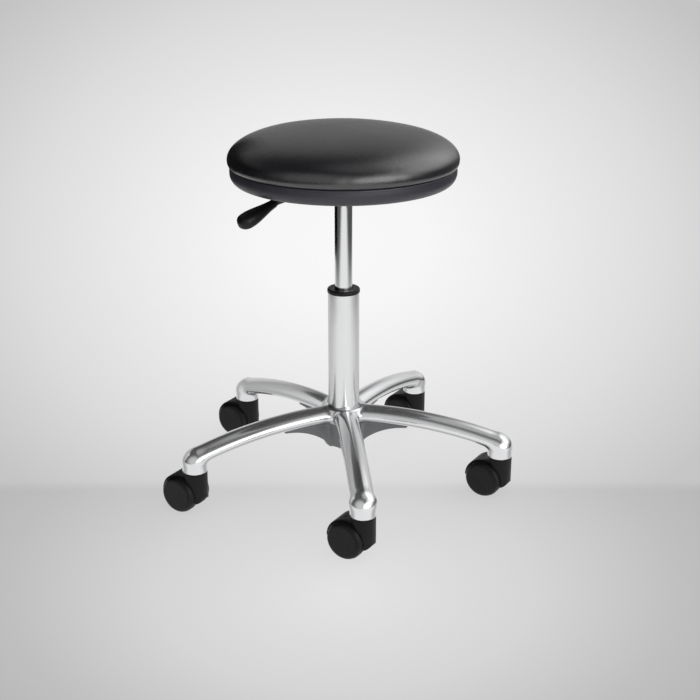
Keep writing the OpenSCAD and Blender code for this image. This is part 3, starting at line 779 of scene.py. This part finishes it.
def build_band():
    """Side strip of the cover: tucked into the seam, down the side, round the edge and under the board."""
    lo = band_lo.z
    top = SEAM_Z
    prof = [(BAND_R - 0.0090, top - 0.0006), (BAND_R - 0.0050, top - 0.0005)]
    prof += arc_points(BAND_R - 0.0024, top - 0.0024, 0.0018, 120, 20, 7)
    prof += [(BAND_R - 0.0004, top - 0.0042), (BAND_R - 0.0001, top - 0.0065), (BAND_R, top - 0.0088)]
    turned = len(prof)
    prof += arc_points(BAND_R - BAND_ROUND_R, lo + BAND_ROUND_Z, BAND_ROUND_R, 0, -90, 12, high=BAND_ROUND_Z)
    lip = len(prof)
    prof += [(BAND_R - inward, lo + above) for inward, above in BAND_LIP]

    def wobble(k, ang):
        folds = soft_noise(ang, 11, range(23, 60))
        side = 0.00012 if turned - 6 <= k <= turned + 2 else 0.0
        # pleats deepen towards the tucked-in lip, whose end lies flat between the board and the lining
        under = max(0.0, (k - lip + 3) / 6.0) if k < len(prof) - 2 else 0.0
        return side * folds, -PLEAT * under * np.maximum(folds, 0)
    o = lathe("seat_side_band", prof, BAND_SEGMENTS, mat_band, wobble)
    smooth(o)
    settle(o, "seat")
    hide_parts("seat_band")


CORD_R = 0.0012
STITCHES, STITCH_HALF, THREAD_R = 270, 0.0014, 0.00034
# (place along half a stitch, thickness share): pointed where the thread goes through the vinyl
STITCH_RINGS = ((-1.0, 0.12), (-0.72, 0.75), (0.0, 1.0), (0.72, 0.75), (1.0, 0.12))
THREAD_SIDES = 6


def build_seam():
    """Welt cord sunk in the seam, and the stitches just below it."""
    rope = arc_points(BAND_R - 0.0042, SEAM_Z - 0.0002, CORD_R, 0, 360, 9)
    rope[-1] = rope[0]
    settle(lathe("seat_seam_cord", rope, 360, mat_band), "seat")
    verts, faces = [], []
    r0, z0 = BAND_R - 0.0005, SEAM_Z - 0.0040
    for i in range(STITCHES):
        first = len(verts)
        for s, thick in STITCH_RINGS:
            at = 2 * math.pi * i / STITCHES + s * STITCH_HALF / r0
            proud = 0.00012 if abs(s) < 0.9 else -0.0002
            for q in range(THREAD_SIDES):
                u = 2 * math.pi * q / THREAD_SIDES
                rr = r0 + THREAD_R * thick * math.cos(u) + proud
                verts.append((rr * math.cos(at), rr * math.sin(at), z0 + THREAD_R * thick * math.sin(u)))
        faces += tube_faces(len(STITCH_RINGS), THREAD_SIDES, first)
    settle(mesh_object("seat_seam_stitches", verts, faces, mat_thread), "seat")


build_cover()
build_band()
build_seam()


# ---------------------------------------------------------------- lever grip

# half widths and half heights in metres: at the neck, and how far they swell towards the tip
NECK_WIDE, SWELL_WIDE = 0.0054, 0.0084
NECK_THICK, SWELL_THICK = 0.0048, 0.0038
SWELL_FROM, SWELL_LONG = 0.002, 0.046
NECK_EDGE, EDGE_R = 0.002, 0.0016
TIP_LONG = 0.0150
GRIP_LIFT, GRIP_EXTRA = 0.0008, 0.0010
TOP_FULL, UNDER_FULL = 1.16, 0.84
RIDGE_HIGH, RIDGE_THICK = 0.00018, 0.0004


def grip_frame():
    """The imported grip's neck end, its three directions and its length."""
    cad = frame["nodes"]["lever_grip"]
    world = np.array(cad.matrix_world)
    pts = get_co(cad.data) @ world[:3, :3].T + world[:3, 3]
    middle = pts.mean(0)
    along = np.linalg.svd(pts - middle, full_matrices=False)[2][0]
    if math.hypot(*(middle + along)[:2]) < math.hypot(*middle[:2]):
        along = -along
    across = np.cross((0, 0, 1), along)
    across /= np.linalg.norm(across)
    up = np.cross(along, across)
    reach = (pts - middle) @ along
    start = middle + along * reach.min()
    start -= across * ((start - middle) @ across)
    return start, along, across, up, reach.max() - reach.min()


def build_grip():
    """Moulded grip: a round neck that swells to a flattened, blunt-ended paddle with a fine parting ridge."""
    start, along, across, up, length = grip_frame()
    start += up * GRIP_LIFT
    length += GRIP_EXTRA
    cap = length - TIP_LONG
    ring = np.concatenate([np.linspace(-12, 12, 9), np.linspace(20, 160, 22), np.linspace(168, 192, 9),
                           np.linspace(200, 340, 22)])
    steps = np.concatenate([[0.0, 0.0004, 0.0011, 0.002], np.linspace(0.003, cap, 40),
                            cap + (length - cap) * np.sin(np.radians(np.linspace(5, 89, 22)))])
    verts = []
    for s in steps:
        grown = min(max((s - SWELL_FROM) / SWELL_LONG, 0.0), 1.0)
        swell = 0.35 * grown + 0.65 * grown * grown * (3 - 2 * grown)
        lip = math.sqrt(max(0.0, 1 - (1 - min(s, NECK_EDGE) / NECK_EDGE) ** 2)) * EDGE_R
        wide = NECK_WIDE + lip + SWELL_WIDE * swell
        thick = NECK_THICK + lip + SWELL_THICK * swell
        if s > cap:
            t = (s - cap) / (length - cap)
            wide *= math.sqrt(max(1 - t * t, 0.0))
            thick *= max(1 - t ** 3.2, 0.0) ** (1 / 2.4)
        power = 2 / (2.0 + 0.8 * swell)
        for d in ring:
            c, q = math.cos(math.radians(d)), math.sin(math.radians(d))
            side = 1 if c > 0 else -1
            u = wide * abs(c) ** power * side
            w = thick * abs(q) ** power * (TOP_FULL if q > 0 else -UNDER_FULL)
            ridge = RIDGE_HIGH * math.exp(-(w / RIDGE_THICK) ** 2) * min(1.0, s / 0.003)
            if s >= cap + 0.012:
                ridge = 0
            verts.append(start + along * s + across * (u + ridge * side) + up * w)
    o = mesh_object("lever_grip_moulding", verts, tube_faces(len(steps), len(ring)), mat_grip)
    settle(o, "lever")
    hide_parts("lever_grip")


build_grip()


# ---------------------------------------------------------------- floor, light, camera

PAPER, DARK_FLOOR = 0.85, 0.06
PAPER_HALF, PAPER_FADED = 0.70, 1.45
GLOW_SHARE, SHADOW_SHARE = 0.92, 0.04
HORIZON = (0.297, 0.315)


def glow_pool(nt, window, centre, stretch, *stops):
    """Soft pool of light on the backdrop, brightest at its centre."""
    mp = nt.nodes.new("ShaderNodeMapping")
    mp.inputs["Location"].default_value = (-centre[0], -centre[1] * stretch, 0)
    mp.inputs["Scale"].default_value = (1, stretch, 0)
    nt.links.new(window, mp.inputs["Vector"])
    length = add(nt, "ShaderNodeVectorMath", operation="LENGTH")
    nt.links.new(mp.outputs["Vector"], length.inputs[0])
    return ramp(nt, length.outputs["Value"], *stops)


def camera_backdrop(nt):
    """What the camera sees of the floor: two pools of light that meet at a soft horizon."""
    window = nt.nodes.new("ShaderNodeTexCoord").outputs["Window"]
    upper = glow_pool(nt, window, (0.49, 0.66), 1.35,
                      (0.0, 1.0), (0.12, 0.98), (0.28, 0.875), (0.46, 0.745), (0.66, 0.56))
    lower = glow_pool(nt, window, (0.49, 0.155), 1.9, (0.0, 0.80), (0.27, 0.68), (0.48, 0.52), (0.60, 0.46))
    split = nt.nodes.new("ShaderNodeSeparateXYZ")
    nt.links.new(window, split.inputs[0])
    return mix_rgb(nt, smooth_step(nt, split.outputs["Y"], *HORIZON), lower, upper)


def mirrored_floor(nt):
    """What the chrome sees of the floor: a sheet of white paper that ends on both sides."""
    split = nt.nodes.new("ShaderNodeSeparateXYZ")
    nt.links.new(nt.nodes.new("ShaderNodeNewGeometry").outputs["Position"], split.inputs[0])
    off_paper = smooth_step(nt, maths(nt, "ABSOLUTE", split.outputs["X"], 0.0), PAPER_HALF, PAPER_FADED)
    return mix_rgb(nt, off_paper, (PAPER,) * 3, (DARK_FLOOR,) * 3)


def mix_shader(nt, fac, a, b):
    """Shader a where fac is 0 and b where it is 1."""
    n = nt.nodes.new("ShaderNodeMixShader")
    for i, v in enumerate((fac, a, b)):
        nt.links.new(v, n.inputs[i])
    return n.outputs[0]


def floor_material():
    """Pale floor: mostly glow, with a share of plain paint that takes shadows, and clear from below."""
    m, nt, p = new_material("pale_floor")
    p.inputs["Base Color"].default_value = (0.82, 0.82, 0.82, 1)
    p.inputs["Roughness"].default_value = 0.7
    p.inputs["Specular IOR Level"].default_value = 0.2
    to_camera = nt.nodes.new("ShaderNodeLightPath").outputs["Is Camera Ray"]
    glow = nt.nodes.new("ShaderNodeEmission")
    nt.links.new(mix_rgb(nt, to_camera, mirrored_floor(nt), camera_backdrop(nt)), glow.inputs["Color"])
    share = maths(nt, "SUBTRACT", GLOW_SHARE, maths(nt, "MULTIPLY", to_camera, SHADOW_SHARE))
    top = mix_shader(nt, share, p.outputs[0], glow.outputs[0])
    below = nt.nodes.new("ShaderNodeNewGeometry").outputs["Backfacing"]
    clear = nt.nodes.new("ShaderNodeBsdfTransparent").outputs[0]
    nt.links.new(mix_shader(nt, below, top, clear), nt.nodes["Material Output"].inputs["Surface"])
    return m


def build_floor(radius=14.0, segments=96):
    """Wide round floor, and the backdrop that the camera sees on it."""
    bm = bmesh.new()
    bmesh.ops.create_circle(bm, cap_ends=True, radius=radius, segments=segments)
    me = bpy.data.meshes.new("floor")
    bm.to_mesh(me)
    bm.free()
    me.materials.append(floor_material())
    o = bpy.data.objects.new("floor", me)
    bpy.context.scene.collection.objects.link(o)
    # a hair below the wheels, so that the two faces don't fight
    o.location.z = -0.0002


def area(name, place, target, size, power):
    """Softbox that lights the stool and isn't mirrored in it."""
    d = bpy.data.lights.new(name, "AREA")
    d.shape = "RECTANGLE"
    d.size, d.size_y = size
    d.energy = power
    o = bpy.data.objects.new(name, d)
    bpy.context.scene.collection.objects.link(o)
    o.location = place
    o.rotation_mode = "QUATERNION"
    o.rotation_quaternion = (Vector(target) - Vector(place)).to_track_quat("-Z", "Y")
    o.visible_glossy = False


CARD_POINTS = 25


def reflector(name, azimuths, radius, height, value, only=None):
    """White card in an arc behind the stool: it only shows mirrored, and only in one piece where given."""
    m, nt, p = new_material(name)
    nt.nodes.remove(p)
    card = add(nt, "ShaderNodeEmission", Color=(value, value, value, 1))
    nt.links.new(card.outputs[0], nt.nodes["Material Output"].inputs["Surface"])
    turns = np.radians(np.linspace(*azimuths, CARD_POINTS))
    ends = [(radius * math.cos(a), radius * math.sin(a)) for a in turns]
    verts = [(x, y, z) for z in (0.01, height) for x, y in ends]
    faces = [(i, i + 1, i + 1 + CARD_POINTS, i + CARD_POINTS) for i in range(CARD_POINTS - 1)]
    o = mesh_object(name, verts, faces, m)
    o.visible_camera = o.visible_diffuse = o.visible_shadow = False
    if only is not None:
        lit = bpy.data.collections.new(name + "_lights")
        lit.objects.link(only)
        o.light_linking.receiver_collection = lit


# azimuth and elevation, brightness, degrees of full light and degrees where it ends: a dark room with one
# big box high on the right, a bright window low in front, and paler paper behind
SOFTBOXES = ((22, 38, 1.55, 6, 36), (-62, 10, 2.4, 8, 36), (-28, 30, 1.0, 8, 32), (50, 20, 0.50, 4, 22),
             (-122, 20, 0.50, 14, 50), (80, 12, 0.33, 18, 50), (132, 8, 0.15, 12, 42), (0, 76, 0.34, 8, 28))
ROOM = 0.05
SKY = 0.80


def softbox(nt, heading, azimuth, elevation, value, core, edge):
    """Round soft light in the surroundings: full to core degrees from its centre, gone at edge degrees."""
    a, e = math.radians(azimuth), math.radians(elevation)
    dot = add(nt, "ShaderNodeVectorMath", operation="DOT_PRODUCT")
    nt.links.new(heading, dot.inputs[0])
    dot.inputs[1].default_value = (math.cos(e) * math.cos(a), math.cos(e) * math.sin(a), math.sin(e))
    near = smooth_step(nt, dot.outputs["Value"], math.cos(math.radians(edge)), math.cos(math.radians(core)))
    return maths(nt, "MULTIPLY", near, value)


def build_world():
    """Surroundings: softboxes for the light and the reflections, plain pale grey for the camera."""
    world = bpy.data.worlds.new("studio")
    bpy.context.scene.world = world
    world.use_nodes = True
    nt = world.node_tree
    heading = nt.nodes.new("ShaderNodeTexCoord").outputs["Generated"]
    room = ROOM
    for box in SOFTBOXES:
        room = maths(nt, "ADD", softbox(nt, heading, *box), room)
    to_camera = nt.nodes.new("ShaderNodeLightPath").outputs["Is Camera Ray"]
    nt.links.new(mix_rgb(nt, to_camera, room, (SKY,) * 3), nt.nodes["Background"].inputs["Color"])


def plain_tones():
    """Tones come out as they are lit, with no film look."""
    settings = bpy.context.scene.view_settings
    settings.view_transform = "Standard"
    settings.look = "None"


CAM_BACK, CAM_UP = 1.9335, 0.9582
CAM_PITCH = math.radians(20.58)
CAM_TURN = math.radians(6.20)
CAM_YAW = math.radians(0.30)
LENS, SENSOR = 65.8, 36


def build_camera():
    """Stands CAM_BACK from the axis, CAM_TURN round from the front leg, and looks down by CAM_PITCH."""
    data = bpy.data.cameras.new("camera")
    data.sensor_width = SENSOR
    data.lens = LENS
    cam = bpy.data.objects.new("camera", data)
    bpy.context.scene.collection.objects.link(cam)
    cam.location = (-CAM_BACK * math.sin(CAM_TURN), -CAM_BACK * math.cos(CAM_TURN), CAM_UP)
    cam.rotation_euler = (math.pi / 2 - CAM_PITCH, 0, -(CAM_TURN + CAM_YAW))
    bpy.context.scene.camera = cam


build_floor()
area("overhead_softbox", (0.1, -0.2, 2.6), (0, 0, 0.2), (2.2, 1.6), 11)
area("left_fill", (-2.0, -1.1, 1.1), (0, 0, 0.3), (1.2, 1.2), 2.5)
reflector("low_card", (62, 102), 1.25, 0.54, 0.75)
reflector("tall_card", (102, 178), 1.30, 1.15, 0.80, only=star)
build_world()
plain_tones()
build_camera()
